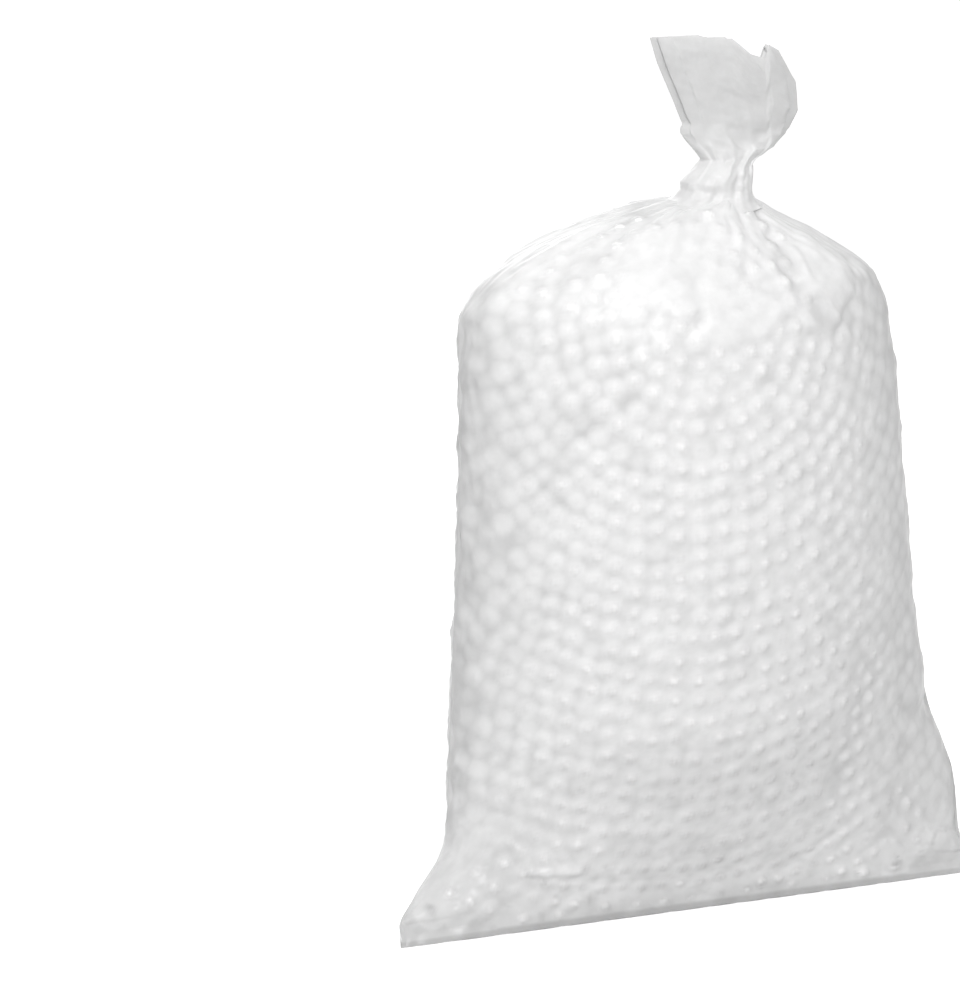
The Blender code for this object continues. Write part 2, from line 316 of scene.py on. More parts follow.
class Heap:
    """Where the beads lie: one layer against the film, and one more in the hollows behind it."""

    def __init__(self, sizes, skin):
        self.random = np.random.default_rng(sizes.seed)
        self.size = sizes.bead_diameter / MM
        self.spread = sizes.bead_spread
        self.skin = skin
        self.outer, self.outer_out = self.lay(self.size / 2 + CLEARANCE, 0.9)
        count = len(self.outer)
        self.outer_radius = self.size / 2 * (1 + self.spread * self.random.uniform(-1, 1, count))
        sunk = self.random.uniform(0, 0.35, count) + 1.6 * self.random.random(count) ** 9
        room = self.size / 2 - self.outer_radius
        self.outer = self.outer + self.outer_out * (room - sunk)[:, None]
        self.outer[:, 2] = np.maximum(self.outer[:, 2], self.outer_radius + CLEARANCE)
        self.under, self.under_out = self.lay(self.size / 2 + UNDER_DEPTH, 1.0)
        self.nestle()

    def lay(self, depth, needed):
        """Beads side by side at this depth, laid in rows round ROW_CENTRE, then eased apart. They lie where
        the film's two sides are at least the needed share of twice the depth apart."""
        skin = self.skin
        room = skin.gap >= 2 * depth * needed
        columns = skin.points.shape[1]
        half = np.arange(columns) % (columns // 2)
        room &= ((half > 1) & (half < columns // 2 - 1))[None, :]
        room &= ((skin.at > LAID_SPAN[0]) & (skin.at < LAID_SPAN[1]))[:, None]
        depths = np.minimum(depth, 0.5 * skin.gap)
        places = skin.points - depths[..., None] * skin.out
        across = np.cos(skin.turn)
        places[..., 0] -= np.where(across > 0, *SIDE_GAPS) * across
        faces = grid_faces(*places.shape[:2], keep=room)
        flat = places.reshape(-1, 3)
        surface = BVHTree.FromPolygons([Vector(p) for p in flat], [tuple(f) for f in faces.tolist()])
        candidates = flat[room.reshape(-1)]
        inside = room & np.roll(room, 1, axis=1) & np.roll(room, -1, axis=1)
        inside[1:-1] &= room[:-2] & room[2:]
        inside |= skin.points[..., 2] > FOOT_HEIGHT
        edge = ~inside.reshape(-1)[room.reshape(-1)]
        # The narrow edges of the foot are filled first, then row after row, and last what lies between rows
        apart = candidates - np.array(ROW_CENTRE)
        row = np.linalg.norm(apart, axis=1) / (ROW_GAP * self.size)
        off_row = np.abs(row - np.round(row)) > 0.1
        turn = np.arctan2(apart[:, 0], -apart[:, 2]) / 7
        rank = np.where(edge, -1000, 0) + np.round(row) + np.abs(turn) + np.where(off_row, 1000, 0)
        taken = self.pick(candidates[np.argsort(rank, kind="stable")], WALL_PITCH * self.size)
        taken = taken + self.random.normal(0, STRAY * self.size, taken.shape)
        for _ in range(8):
            taken = self.ease(taken, surface, 0.35)
        taken = self.pick(np.concatenate([taken, candidates]), FILL_PITCH * self.size)
        for _ in range(3):
            taken = self.ease(taken, surface, 0.3)
        taken = self.pick(taken, LEAST_PITCH * self.size)
        self.lift(taken)
        out, away = self.outward(taken)
        fits = away > np.where(np.abs(taken[:, 0]) > EAR_START, *LEAST_DEPTHS) * self.size
        return taken[fits], out[fits]

    def pick(self, points, pitch):
        """Takes each point in turn that lies a pitch or more from all that are taken."""
        cells, taken, pitch2 = {}, [], pitch * pitch
        keys = np.floor(points / pitch).astype(int)
        around = [(i, j, k) for i in (-1, 0, 1) for j in (-1, 0, 1) for k in (-1, 0, 1)]
        for (x, y, z), (a, b, c) in zip(points.tolist(), keys.tolist()):
            close = any(
                (u - x) ** 2 + (v - y) ** 2 + (w - z) ** 2 < pitch2
                for i, j, k in around
                for u, v, w in cells.get((a + i, b + j, c + k), ())
            )
            if not close:
                cells.setdefault((a, b, c), []).append((x, y, z))
                taken.append((x, y, z))
        return np.array(taken)

    def ease(self, points, surface, push):
        """Moves beads that lie too close apart, and puts each back on its surface."""
        near = tree_of(points)
        moved = points.copy()
        want = EASED_PITCH * self.size
        for i, point in enumerate(points.tolist()):
            shift = np.zeros(3)
            for _, j, gap in near.find_range(point, want):
                if j != i and gap > 1e-6:
                    shift += (points[i] - points[j]) / gap * (want - gap)
            place = surface.find_nearest(Vector(points[i] + push * shift))[0]
            if place is not None:
                moved[i] = place
        return moved

    def lift(self, points):
        """Lifts points so far that the largest bead would clear the floor there."""
        points[:, 2] = np.maximum(points[:, 2], self.size / 2 * (1 + self.spread) + CLEARANCE)

    def outward(self, points):
        """Which way the film lies from each bead, and how far."""
        near = tree_of(self.skin.points.reshape(-1, 3))
        found = [near.find(point) for point in points.tolist()]
        out = self.skin.out.reshape(-1, 3)[[index for _, index, _ in found]]
        return out, np.array([away for _, _, away in found])

    def nestle(self):
        """Lets the second layer slide into the hollows of the first, and leaves out what comes too near the
        film."""
        fixed = tree_of(self.outer)
        want = NESTLE_PITCH * self.size
        for _ in range(8):
            for i in range(len(self.under)):
                shift = np.zeros(3)
                for _, j, gap in fixed.find_range(self.under[i].tolist(), want):
                    if gap > 1e-6:
                        shift += (self.under[i] - self.outer[j]) / gap * (want - gap)
                self.under[i] += 0.5 * shift
            self.lift(self.under)
        covered = self.outward(self.under)[1] > 0.6 * self.size
        self.under, self.under_out = self.under[covered], self.under_out[covered]


def ball(subdivisions, cut):
    """A unit ball's points and triangles, without those that face away from +Z past cut."""
    shape = bmesh.new()
    bmesh.ops.create_icosphere(shape, subdivisions=subdivisions, radius=1.0)
    bmesh.ops.delete(shape, geom=[v for v in shape.verts if v.co.z < cut], context="VERTS")
    shape.verts.index_update()
    points = np.array([v.co[:] for v in shape.verts])
    faces = np.array([[v.index for v in f.verts] for f in shape.faces])
    shape.free()
    return points, faces


def balls_at(centres, outs, radii, template, random):
    """Copies a ball to each centre with its pole along out, each a little out of round."""
    points, faces = template
    count = len(centres)
    aside = np.cross(outs, random.normal(size=(count, 3)))
    aside /= np.linalg.norm(aside, axis=1, keepdims=True)
    other = np.cross(outs, aside)
    axes = np.stack([aside, other, outs], axis=1) * (1 + 0.02 * random.uniform(-1, 1, (count, 3, 1)))
    placed = np.einsum("pk,nkc->npc", points, axes) * radii[:, None, None] + centres[:, None, :]
    copies = faces[None] + (np.arange(count) * len(points))[:, None, None]
    return placed.reshape(-1, 3), copies.reshape(-1, faces.shape[1])


_made = {}


def bag_parts(context):
    """The film's levels and the heap, worked out once."""
    if not _made:
        sizes = context.scene.bag_sizes
        _made["levels"] = bag_levels(sizes)
        _made["heap"] = Heap(sizes, Skin(_made["levels"], *HEAP_GRID))
    return _made["levels"], _made["heap"]


# Materials

# Painted shade edge on, in place of a dark room's reflection: darker haze, less light through, dull gloss
EDGE_POWER = 9.0  # the higher, the closer to its outline the film turns hazy and dark
CLEAR_TINTS = (0.97, 0.55)  # light let through face on, and edge on with painted shade
EDGE_HAZE = 0.16  # haze that is added edge on
PATCH_HAZE = 0.08  # how much crinkles add to the haze or take from it
PASSED_SHARE = 0.22  # how much of the light goes through the film and isn't thrown back
GLOSS_INDEX = 1.25  # refractive index that sets how glossy the film is
EDGE_DULLING = 0.85  # how much of the gloss is lost edge on


def grey(level):
    return (level, level, level, 1.0)


def shade(colour, factor=1.0):
    """A colour made darker or brighter, with full alpha."""
    return (*[min(1.0, c * factor) for c in colour], 1.0)


def set_inputs(tree, node, inputs):
    """Sets each named input of a node to a plain value, or links it to the socket that is given."""
    for name, value in inputs.items():
        if isinstance(value, bpy.types.NodeSocket):
            tree.links.new(value, node.inputs[name])
        else:
            node.inputs[name].default_value = value
    return node


def add_node(tree, kind, inputs=None, **settings):
    """Adds a node with these settings and inputs."""
    node = tree.nodes.new(kind)
    for name, value in settings.items():
        setattr(node, name, value)
    return set_inputs(tree, node, inputs or {})


def calculate(tree, operation, *values, clamp=False):
    """The result of a Math node on plain values and sockets."""
    inputs = dict(enumerate(values))
    return add_node(tree, "ShaderNodeMath", inputs, operation=operation, use_clamp=clamp).outputs[0]


def mix_colours(tree, share, first, second):
    inputs = {"Factor": share, "A": first, "B": second}
    return add_node(tree, "ShaderNodeMix", inputs, data_type="RGBA").outputs["Result"]


def mix_shaders(tree, share, first, second):
    return add_node(tree, "ShaderNodeMixShader", {0: share, 1: first, 2: second}).outputs[0]


def new_material(name):
    """A material with its default nodes, and its node tree."""
    material = bpy.data.materials.new(name)
    material.use_nodes = True
    return material, material.node_tree


def crinkle_group():
    """Soft creases and fine crinkles of thin film, as a height and a haze mask."""
    if "Film Crinkle" in bpy.data.node_groups:
        return bpy.data.node_groups["Film Crinkle"]
    group = bpy.data.node_groups.new("Film Crinkle", "ShaderNodeTree")
    group.interface.new_socket(name="Vector", in_out="INPUT", socket_type="NodeSocketVector")
    for name, value in (("Scale", 100.0), ("Stretch", 0.5)):
        socket = group.interface.new_socket(name=name, in_out="INPUT", socket_type="NodeSocketFloat")
        socket.default_value = value
    for name in ("Height", "Mask"):
        group.interface.new_socket(name=name, in_out="OUTPUT", socket_type="NodeSocketFloat")
    given = group.nodes.new("NodeGroupInput").outputs
    along = add_node(group, "ShaderNodeCombineXYZ", {"X": 1.0, "Y": 1.0, "Z": given["Stretch"]})
    squeeze = {"Vector": given["Vector"], "Scale": along.outputs[0]}
    squeezed = add_node(group, "ShaderNodeMapping", squeeze).outputs[0]
    ridges = {"Vector": squeezed, "Scale": given["Scale"], "Detail": 2.0, "Distortion": 0.6}
    broad = add_node(group, "ShaderNodeTexNoise", ridges, noise_type="RIDGED_MULTIFRACTAL")
    puffs = {"Vector": given["Vector"], "Scale": given["Scale"], "Detail": 3.0}
    cloud = add_node(group, "ShaderNodeTexNoise", puffs)
    height = calculate(group, "MULTIPLY_ADD", broad.outputs["Fac"], 0.35, cloud.outputs["Fac"])
    limits = {"Value": cloud.outputs["Fac"], "From Min": 0.35, "From Max": 0.7}
    mask = add_node(group, "ShaderNodeMapRange", limits).outputs[0]
    add_node(group, "NodeGroupOutput", {"Height": height, "Mask": mask})
    return group


def film_material(name, finish, scale, stretch, bump, roughness):
    """Clear film: it dims and scatters the light that passes, more where it lies slack and where it is seen
    edge on, less where it presses on a bead, and it is glossy on top. Where the slack mask is high and
    edge on, its haze is painted a darker grey as shade."""
    material, tree = new_material(name)
    tree.nodes.clear()
    place = add_node(tree, "ShaderNodeTexCoord").outputs["Object"]
    crinkles = {"Vector": place, "Scale": scale, "Stretch": stretch}
    crinkle = add_node(tree, "ShaderNodeGroup", crinkles, node_tree=crinkle_group())
    relief = {"Strength": 1.0, "Distance": bump * MM, "Height": crinkle.outputs["Height"]}
    normal = add_node(tree, "ShaderNodeBump", relief).outputs[0]
    slack_and_shade = add_node(tree, "ShaderNodeAttribute", attribute_name="slack_and_shade").outputs["Fac"]
    contact = add_node(tree, "ShaderNodeAttribute", attribute_name="contact").outputs["Fac"]
    facing = add_node(tree, "ShaderNodeLayerWeight", {"Blend": 0.5}).outputs["Facing"]
    # Edge on, the film is painted darker as shade: darker haze, less light let through and duller gloss
    edge = calculate(tree, "POWER", facing, EDGE_POWER)

    # Painted shade: the slack colour is the darker grey that the haze turns to
    film, loose = shade(finish.film_colour), shade(finish.slack_shade_colour)
    tone = mix_colours(tree, calculate(tree, "MAXIMUM", slack_and_shade, edge), film, loose)
    dimmed = mix_colours(tree, edge, *[grey(level) for level in CLEAR_TINTS])
    clear = add_node(tree, "ShaderNodeBsdfTransparent", {"Color": dimmed})
    slack_gain = max(0.0, finish.slack_haze - finish.film_haze)
    haze = calculate(tree, "MULTIPLY_ADD", slack_and_shade, slack_gain, finish.film_haze)
    haze = calculate(tree, "MULTIPLY_ADD", contact, -finish.contact_clear, haze)
    haze = calculate(tree, "MULTIPLY_ADD", edge, EDGE_HAZE, haze, clamp=True)
    patches = {"Value": crinkle.outputs["Mask"], "To Min": -PATCH_HAZE, "To Max": PATCH_HAZE}
    patchy = add_node(tree, "ShaderNodeMapRange", patches).outputs[0]
    alpha = calculate(tree, "ADD", haze, patchy, clamp=True)

    haze_look = {"Base Color": tone, "Roughness": 0.5, "Specular IOR Level": 0.0}
    bounced = add_node(tree, "ShaderNodeBsdfPrincipled", {**haze_look, "Alpha": alpha, "Normal": normal})
    passed = add_node(tree, "ShaderNodeBsdfTranslucent", {"Color": tone, "Normal": normal})
    through = mix_shaders(tree, haze, clear.outputs[0], passed.outputs[0])
    body = mix_shaders(tree, PASSED_SHARE, bounced.outputs[0], through)
    coat = {"Color": grey(1.0), "Roughness": roughness, "Normal": normal}
    shine = add_node(tree, "ShaderNodeBsdfAnisotropic", coat)
    fresnel = add_node(tree, "ShaderNodeFresnel", {"IOR": GLOSS_INDEX, "Normal": normal}).outputs[0]
    gloss = calculate(tree, "MULTIPLY", fresnel, calculate(tree, "MULTIPLY_ADD", edge, -EDGE_DULLING, 1.0))
    both = mix_shaders(tree, gloss, body, shine.outputs[0])
    add_node(tree, "ShaderNodeOutputMaterial", {"Surface": both})
    return material


def bead_material(finish):
    """White expanded foam: satin skin, faint cell pattern, and each bead a slightly different white."""
    material, tree = new_material("bead_foam")
    place = add_node(tree, "ShaderNodeTexCoord").outputs["Object"]
    cells = add_node(tree, "ShaderNodeTexVoronoi", {"Vector": place, "Scale": 900.0})
    dents = add_node(tree, "ShaderNodeTexNoise", {"Vector": place, "Scale": 260.0, "Detail": 2.0})
    height = calculate(tree, "MULTIPLY_ADD", cells.outputs["Distance"], 0.25, dents.outputs["Fac"])
    relief = {"Strength": 0.35, "Distance": 0.3 * MM, "Height": height}
    normal = add_node(tree, "ShaderNodeBump", relief).outputs[0]
    bead = add_node(tree, "ShaderNodeNewGeometry").outputs["Random Per Island"]
    white = mix_colours(tree, bead, shade(finish.bead_colour, 0.95), shade(finish.bead_colour, 1.04))
    skin = {"Base Color": white, "Roughness": 0.28, "Specular IOR Level": 0.6, "Normal": normal}
    set_inputs(tree, tree.nodes["Principled BSDF"], skin)
    return material


# The pieces

OUTER_BALL = (3, -0.3)  # a bead's subdivisions, and where on its axis its back is cut off, in radii
UNDER_BALL = (2, -0.1)
CORE_GRID = (60, 72)
CORE_SPAN = (1.6, 10.0)  # the levels of the film that the core follows
CORE_SHARES = (0.84, 0.68, 0.9)  # of the film's own width and depth, and of the rise in a ring
CORE_HEIGHTS = (13.0, 222.0)


class BAG_OT_fill(bpy.types.Operator):
    """Lay the beads against the film, with a second layer and a core behind them"""

    bl_idname = "bag.fill"
    bl_label = "Bead Fill"

    def execute(self, context):
        levels, heap = bag_parts(context)
        material = bead_material(context.scene.bag_finish)
        random = np.random.default_rng(context.scene.bag_sizes.seed + 1)
        front = ball(*OUTER_BALL)
        thirds = np.array_split(np.argsort(heap.outer[:, 2], kind="stable"), 3)
        made = []
        for name, pick in zip(("beads_low", "beads_middle", "beads_high"), thirds):
            shape = balls_at(heap.outer[pick], heap.outer_out[pick], heap.outer_radius[pick], front, random)
            made.append(make_piece(name, *shape, material))
        radii = np.full(len(heap.under), heap.size / 2)
        shape = balls_at(heap.under, heap.under_out, radii, ball(*UNDER_BALL), random)
        made.append(make_piece("beads_behind", *shape, material))
        made.append(make_piece("bead_core", *self.core(levels), material))
        for piece in made:
            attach(piece, "root")
        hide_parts("bead_fill")
        return {"FINISHED"}

    def core(self, levels):
        """A lump inside the two layers, so that no gap looks through the bag."""
        skin = Skin(levels, *CORE_GRID)
        rings = skin.points[(skin.at > CORE_SPAN[0]) & (skin.at < CORE_SPAN[1])]
        centres = rings.mean(axis=1, keepdims=True)
        rings = centres + (rings - centres) * np.array(CORE_SHARES)
        rings[..., 2] = np.clip(rings[..., 2], *CORE_HEIGHTS)
        return rings.reshape(-1, 3), grid_faces(*rings.shape[:2])


# Soft creases in the front of the film: (height, width, the line's (x, z) points), in millimetres
FRONT_CREASES = (
    (-1.3, 2.6, ((24, 231), (26, 220), (28, 211), (31, 204), (38, 196), (42, 190))),
    (0.5, 1.8, ((32, 215), (36, 204), (43, 194), (52, 187))),
    (0.6, 1.8, ((-3, 231), (-7, 222), (-15, 213))),
    (-0.35, 2.6, ((4, 231), (1, 221), (-5, 211), (-7, 202))),
    (0.5, 1.6, ((14, 231), (14, 222), (11, 212))),
    (-0.7, 2.2, ((-15, 229), (-27, 220), (-44, 212))),
    (-0.7, 7.0, ((77, 97), (70, 84), (62, 73), (55, 60), (51, 47), (49, 36))),
    (0.7, 5.0, ((86, 60), (80, 48), (70, 34), (66, 22))),
    (-0.9, 3.4, ((92, 52), (84, 54), (76, 58))),
    (0.9, 1.2, ((-63, 28), (-60, 24), (-57, 19))),
    (1.1, 1.2, ((-58, 19.5), (-50, 18.6), (-42, 18.4))),
    (0.7, 1.1, ((-53, 18), (-51.5, 15.5), (-50, 12))),
    (-0.9, 1.4, ((-66, 26), (-74, 20), (-84, 14))),
    (-0.6, 2.2, ((88, 20), (80, 26), (72, 30))),
)
# Where the film stands off the beads and lies smooth: (x, z, half width, half height)
SMOOTH_PATCHES = ((-8, 212, 20, 15), (6, 199, 17, 10), (40, 208, 12, 14), (37, 197, 8, 7))


WAVES = 14  # how many a random field is made of


def waves(seed, x, y, size):
    """A smooth random field between about -1 and 1, with bumps about this size apart."""
    random = np.random.default_rng(seed)
    total = np.zeros(np.broadcast(x, y).shape)
    for _ in range(WAVES):
        angle, phase = random.uniform(0, 2 * math.pi, 2)
        pitch = 2 * math.pi / (size * random.uniform(0.7, 1.6))
        total += np.sin(pitch * (x * math.cos(angle) + y * math.sin(angle)) + phase)
    return total / math.sqrt(WAVES)


def from_line(x, z, line):
    """The distance of each (x, z) from a line of straight stretches."""
    best = np.full(x.shape, 1e9)
    for (x0, z0), (x1, z1) in zip(line, line[1:]):
        dx, dz = x1 - x0, z1 - z0
        share = np.clip(((x - x0) * dx + (z - z0) * dz) / (dx * dx + dz * dz), 0, 1)
        best = np.minimum(best, np.hypot(x - x0 - share * dx, z - z0 - share * dz))
    return best


def to_sides(skin, low, high):
    """Rises from 0 to 1 on the way to the side creases, alike in all rings."""
    return eased(low, high, np.abs(np.cos(skin.turn)))[None, :]


def to_top(skin, low, high):
    """Rises from 0 to 1 between two levels of the film, alike all round."""
    return eased(low, high, skin.at)[:, None]


def by_side(skin, right, left):
    """One value in the right half of the film and another in the left."""
    return np.where(np.cos(skin.turn) > 0, right, left)[None, :]


def add_mask(piece, name, values):
    """Stores one number for each point of a piece, which its material reads."""
    mask = piece.data.attributes.new(name, "FLOAT", "POINT")
    mask.data.foreach_set("value", np.asarray(values, np.float32).ravel())


FILM_GRID = (254, 384)  # rings and columns of the skin that is drawn over the beads
FILM_TOP = 11.4  # the level up to which it goes, hidden in the knot
FLOOR_GAP = 0.02  # from the film to the floor
# How far the film sinks between beads: at the foot, more above the middle, and more in the corners
SAG = (0.42, 0.4, 0.4)
SAG_WIDTH = 5.5  # how widely a dome over a bead is rounded
DOME_BLEND = 0.08  # how softly two domes meet
FILM_GAP = 0.16  # least distance from a bead to the film
TOUCH_RADIUS = 1.8  # how widely the film presses on a bead
BACK_FOLDS = 12
STRETCHED_LOOK = {"scale": 120.0, "stretch": 0.6, "bump": 0.06, "roughness": 0.33}


class BAG_OT_film(bpy.types.Operator):
    """Draw the film tight over the beads, from its bottom weld up to the knot"""

    bl_idname = "bag.film"
    bl_label = "Film Body"

    def execute(self, context):
        levels, heap = bag_parts(context)
        finish = context.scene.bag_finish
        skin = Skin(levels, *FILM_GRID)
        keep = skin.at < FILM_TOP
        skin.at, skin.points = skin.at[keep], skin.points[keep]
        skin.refresh()
        offset, least, slack_and_shade, contact = self.over_beads(skin, heap)
        creases, shaded_valleys = self.creases(skin, context.scene.bag_sizes.seed)
        # Kept within the bag's shape, then pushed out again where a bead lies against it
        offset = np.clip(offset + creases, -0.3 * skin.gap - 0.4, 1.6)
        offset = np.maximum(offset, np.minimum(least, 1.8))
        points = skin.points + offset[..., None] * skin.out
        points[..., 2] = np.maximum(points[..., 2], FLOOR_GAP)
        material = film_material("stretched_film", finish, **STRETCHED_LOOK)
        piece = make_piece("film_body", points.reshape(-1, 3), grid_faces(*skin.gap.shape), material)
        # The slack mask: real slackness, and painted shade that darkens the haze in creases, foot and
        # corners
        add_mask(piece, "slack_and_shade", np.maximum(slack_and_shade, shaded_valleys))
        add_mask(piece, "contact", contact)
        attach(piece, "root")
        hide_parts("film_bag")
        return {"FINISHED"}

    def over_beads(self, skin, heap):
        """How far the film lies under the plain skin, in low domes over the beads, the furthest in that it
        may be drawn before it meets a bead, where it lies slack and is painted darker as shade, and where it
        presses on beads."""
        shape, near = skin.gap.shape, tree_of(heap.outer)
        places, out = skin.points.reshape(-1, 3), skin.out.reshape(-1, 3)
        found = np.array([[j for _, j, _ in near.find_n(p, 4)] for p in places.tolist()])
        apart = heap.outer[found] - places[:, None]
        rise = np.einsum("pnc,pc->pn", apart, out)
        aside = (apart**2).sum(axis=2) - rise**2
        radius = heap.outer_radius[found]
        corner = to_sides(skin, 0.5, 0.8) * (1 - to_top(skin, 2.6, 3.6))
        deepest = SAG[0] + SAG[1] * eased(50, 150, skin.points[..., 2]) + SAG[2] * corner
        deepest = deepest.reshape(-1, 1)
        sag = deepest * (1 - np.exp(-aside / (2 * SAG_WIDTH * deepest)))
        dome = np.minimum(rise + radius + CLEARANCE, 0.0) - sag
        offset = DOME_BLEND * np.log(np.exp(dome / DOME_BLEND).sum(axis=1))
        offset = np.clip(offset, -1.4, 0.0).reshape(shape)
        cover = (radius + FILM_GAP) ** 2 - aside
        least = np.where(cover > 0, rise + np.sqrt(np.maximum(cover, 0.0)), -9.0).max(axis=1)
        clear = np.sqrt((apart**2).sum(axis=2)).min(axis=1).reshape(shape) - heap.size / 2
        follow, lift, slack_and_shade = self.smoothed(skin, self.slackness(skin, clear))
        touch = np.exp(-aside.min(axis=1) / TOUCH_RADIUS**2).reshape(shape) * (1 - eased(0.5, 1.7, clear))
        return offset * follow + lift, least.reshape(shape), slack_and_shade, touch * follow

    def slackness(self, skin, clear):
        """How slack the film lies and how darkly its haze is painted as shade: most where it is clear of the
        beads, along its creases, at its foot and in its bottom corners."""
        loose = 0.45 + 0.25 * (1 - to_top(skin, 1.0, 2.2)) - 0.35 * to_top(skin, 8.4, 9.6)
        # Painted shade along the side creases, much stronger on the right than on the left
        rim = to_sides(skin, 0.978, 0.997) * ((1 - to_top(skin, 8.0, 9.0)) * to_top(skin, 0.6, 1.8))
        slack_and_shade = np.maximum(loose * eased(1.6, 4.0, clear), by_side(skin, 0.85, 0.15) * rim)
        # Painted shade at the foot, full at the very bottom and weaker towards the side creases
        low = 0.5 * (1 - to_top(skin, 0.3, 1.3)) * (1 - 0.8 * np.cos(skin.turn) ** 4)[None, :]
        slack_and_shade = np.maximum(slack_and_shade, np.maximum(low, 1 - to_top(skin, 0.15, 0.5)))
        # Painted shade in the bottom corners, a little stronger on the left
        corners = to_sides(skin, 0.5, 0.85) * (1 - to_top(skin, 2.4, 3.4))
        return np.maximum(slack_and_shade, by_side(skin, 0.3, 0.42) * corners)

    def smoothed(self, skin, slack_and_shade):
        """How closely the film follows the beads, how far it is lifted off them, and how slack and darkly
        shaded it then is: it follows less at the neck, along the creases and in the smooth patches, where
        its slackness and painted shade are also less."""
        x, z = skin.points[..., 0], skin.points[..., 2]
        flat = to_sides(skin, 0.86, 0.97) * to_top(skin, 1.5, 3.0)
        follow = (1 - 0.85 * to_top(skin, 9.7, 10.7)) * (1 - 0.7 * flat)
        lift = np.zeros_like(x)
        front = np.sin(skin.turn)[None, :] > 0
        ragged = 1 + 0.25 * waves(5, x, z, 14)
        for px, pz, wide, high in SMOOTH_PATCHES:
            reach = np.hypot((x - px) / wide, (z - pz) / high) * ragged
            patch = 1 - eased(0.55, 1.15, reach)
            follow = np.where(front, np.minimum(follow, 1 - 0.9 * patch), follow)
            lift = np.where(front, np.maximum(lift, 0.2 * patch), lift)
            slack_and_shade = np.where(front, slack_and_shade * (1 - 0.8 * patch), slack_and_shade)
        return follow * to_top(skin, 0.0, 0.6), lift, slack_and_shade

    def creases(self, skin, seed):
        """How high the soft folds and ridges stand, and how darkly their valleys are painted as shade."""
        x, z = skin.points[..., 0], skin.points[..., 2]
        front = np.sin(skin.turn)[None, :] > 0
        total, shaded_valleys = np.zeros_like(x), np.zeros_like(x)
        for height, width, line in FRONT_CREASES:
            stray = min(0.8, 0.3 * width)
            apart = from_line(x + stray * waves(3, x, z, 9), z + stray * waves(4, x, z, 9), line)
            along = np.where(front, np.exp(-((apart / width) ** 2)), 0.0)
            total += height * along
            # Painted shade in the valleys of the creases
            shaded_valleys = np.maximum(shaded_valleys, max(0.0, -0.28 * height) * along)
        random = np.random.default_rng(seed + 20)
        for _ in range(BACK_FOLDS):
            x0, z0, lean = random.uniform(-60, 60), random.uniform(20, 190), random.normal(0, 10)
            apart = from_line(x, z, ((x0, z0), (x0 + lean, z0 + random.uniform(14, 40))))
            total += np.where(front, 0.0, random.uniform(-1.2, 0.9) * np.exp(-((apart / 2.2) ** 2)))
        side = to_sides(skin, 0.90, 0.995) * to_top(skin, 1.5, 3.5) * (1 - to_top(skin, 9.0, 10.0))
        turn = skin.turn[None, :]
        dents = 0.4 * waves(8, turn * 30, z, 14) + 0.12 * waves(9, turn * 40, z, 6) - 0.4
        dents = dents - by_side(skin, 1.4, 0.0) * np.exp(-(((z - 56) / 4.5) ** 2))
        total += side * dents
        return total + 0.12 * waves(10, turn * 60, z, 6), shaded_valleys


KNOT_GRID = (130, 420)
GATHERED_LOOK = {"scale": 150.0, "stretch": 0.25, "bump": 0.12, "roughness": 0.3}
NECK_PLACE = (18.0, 1.5)  # the (x, y) that the gathered film runs up through
# The gathered film's half widths to the left and the right and its half depth. Each row begins with the
# share of the way up: below 0 is the knot, 0 is its top and 1 the mouth of the tail.
GATHERED = (
    (-0.4, 26, 12.5, 15),
    (-0.34, 21, 10.2, 12),
    (-0.3, 17.2, 9.2, 10.6),
    (-0.24, 15.2, 8.8, 10),
    (-0.18, 15.2, 8.8, 10),
    (-0.11, 12.8, 8.8, 10),
    (-0.05, 10.2, 8.8, 8),
    (0, 8.5, 10.8, 6),
    (0.1, 12, 16.8, 5.6),
    (0.22, 15.2, 19.8, 5.2),
    (0.26, 15.2, 20.2, 5),
    (0.3, 14.4, 21.0, 5),
    (0.5, 17.6, 23.4, 4.4),
    (0.8, 23.0, 22.3, 3.6),
    (1, 25.6, 16, 3),
)
# The uneven mouth of a 40 mm tail: (x from the neck's middle, height above the knot)
TAIL_RIM = (
    ((-26, 39), (-9, 39), (-6.5, 38.2), (0, 38.2), (7, 33))
    + ((12.2, 31.4), (13.4, 35.8), (19.5, 32.5), (24.5, 29))
)


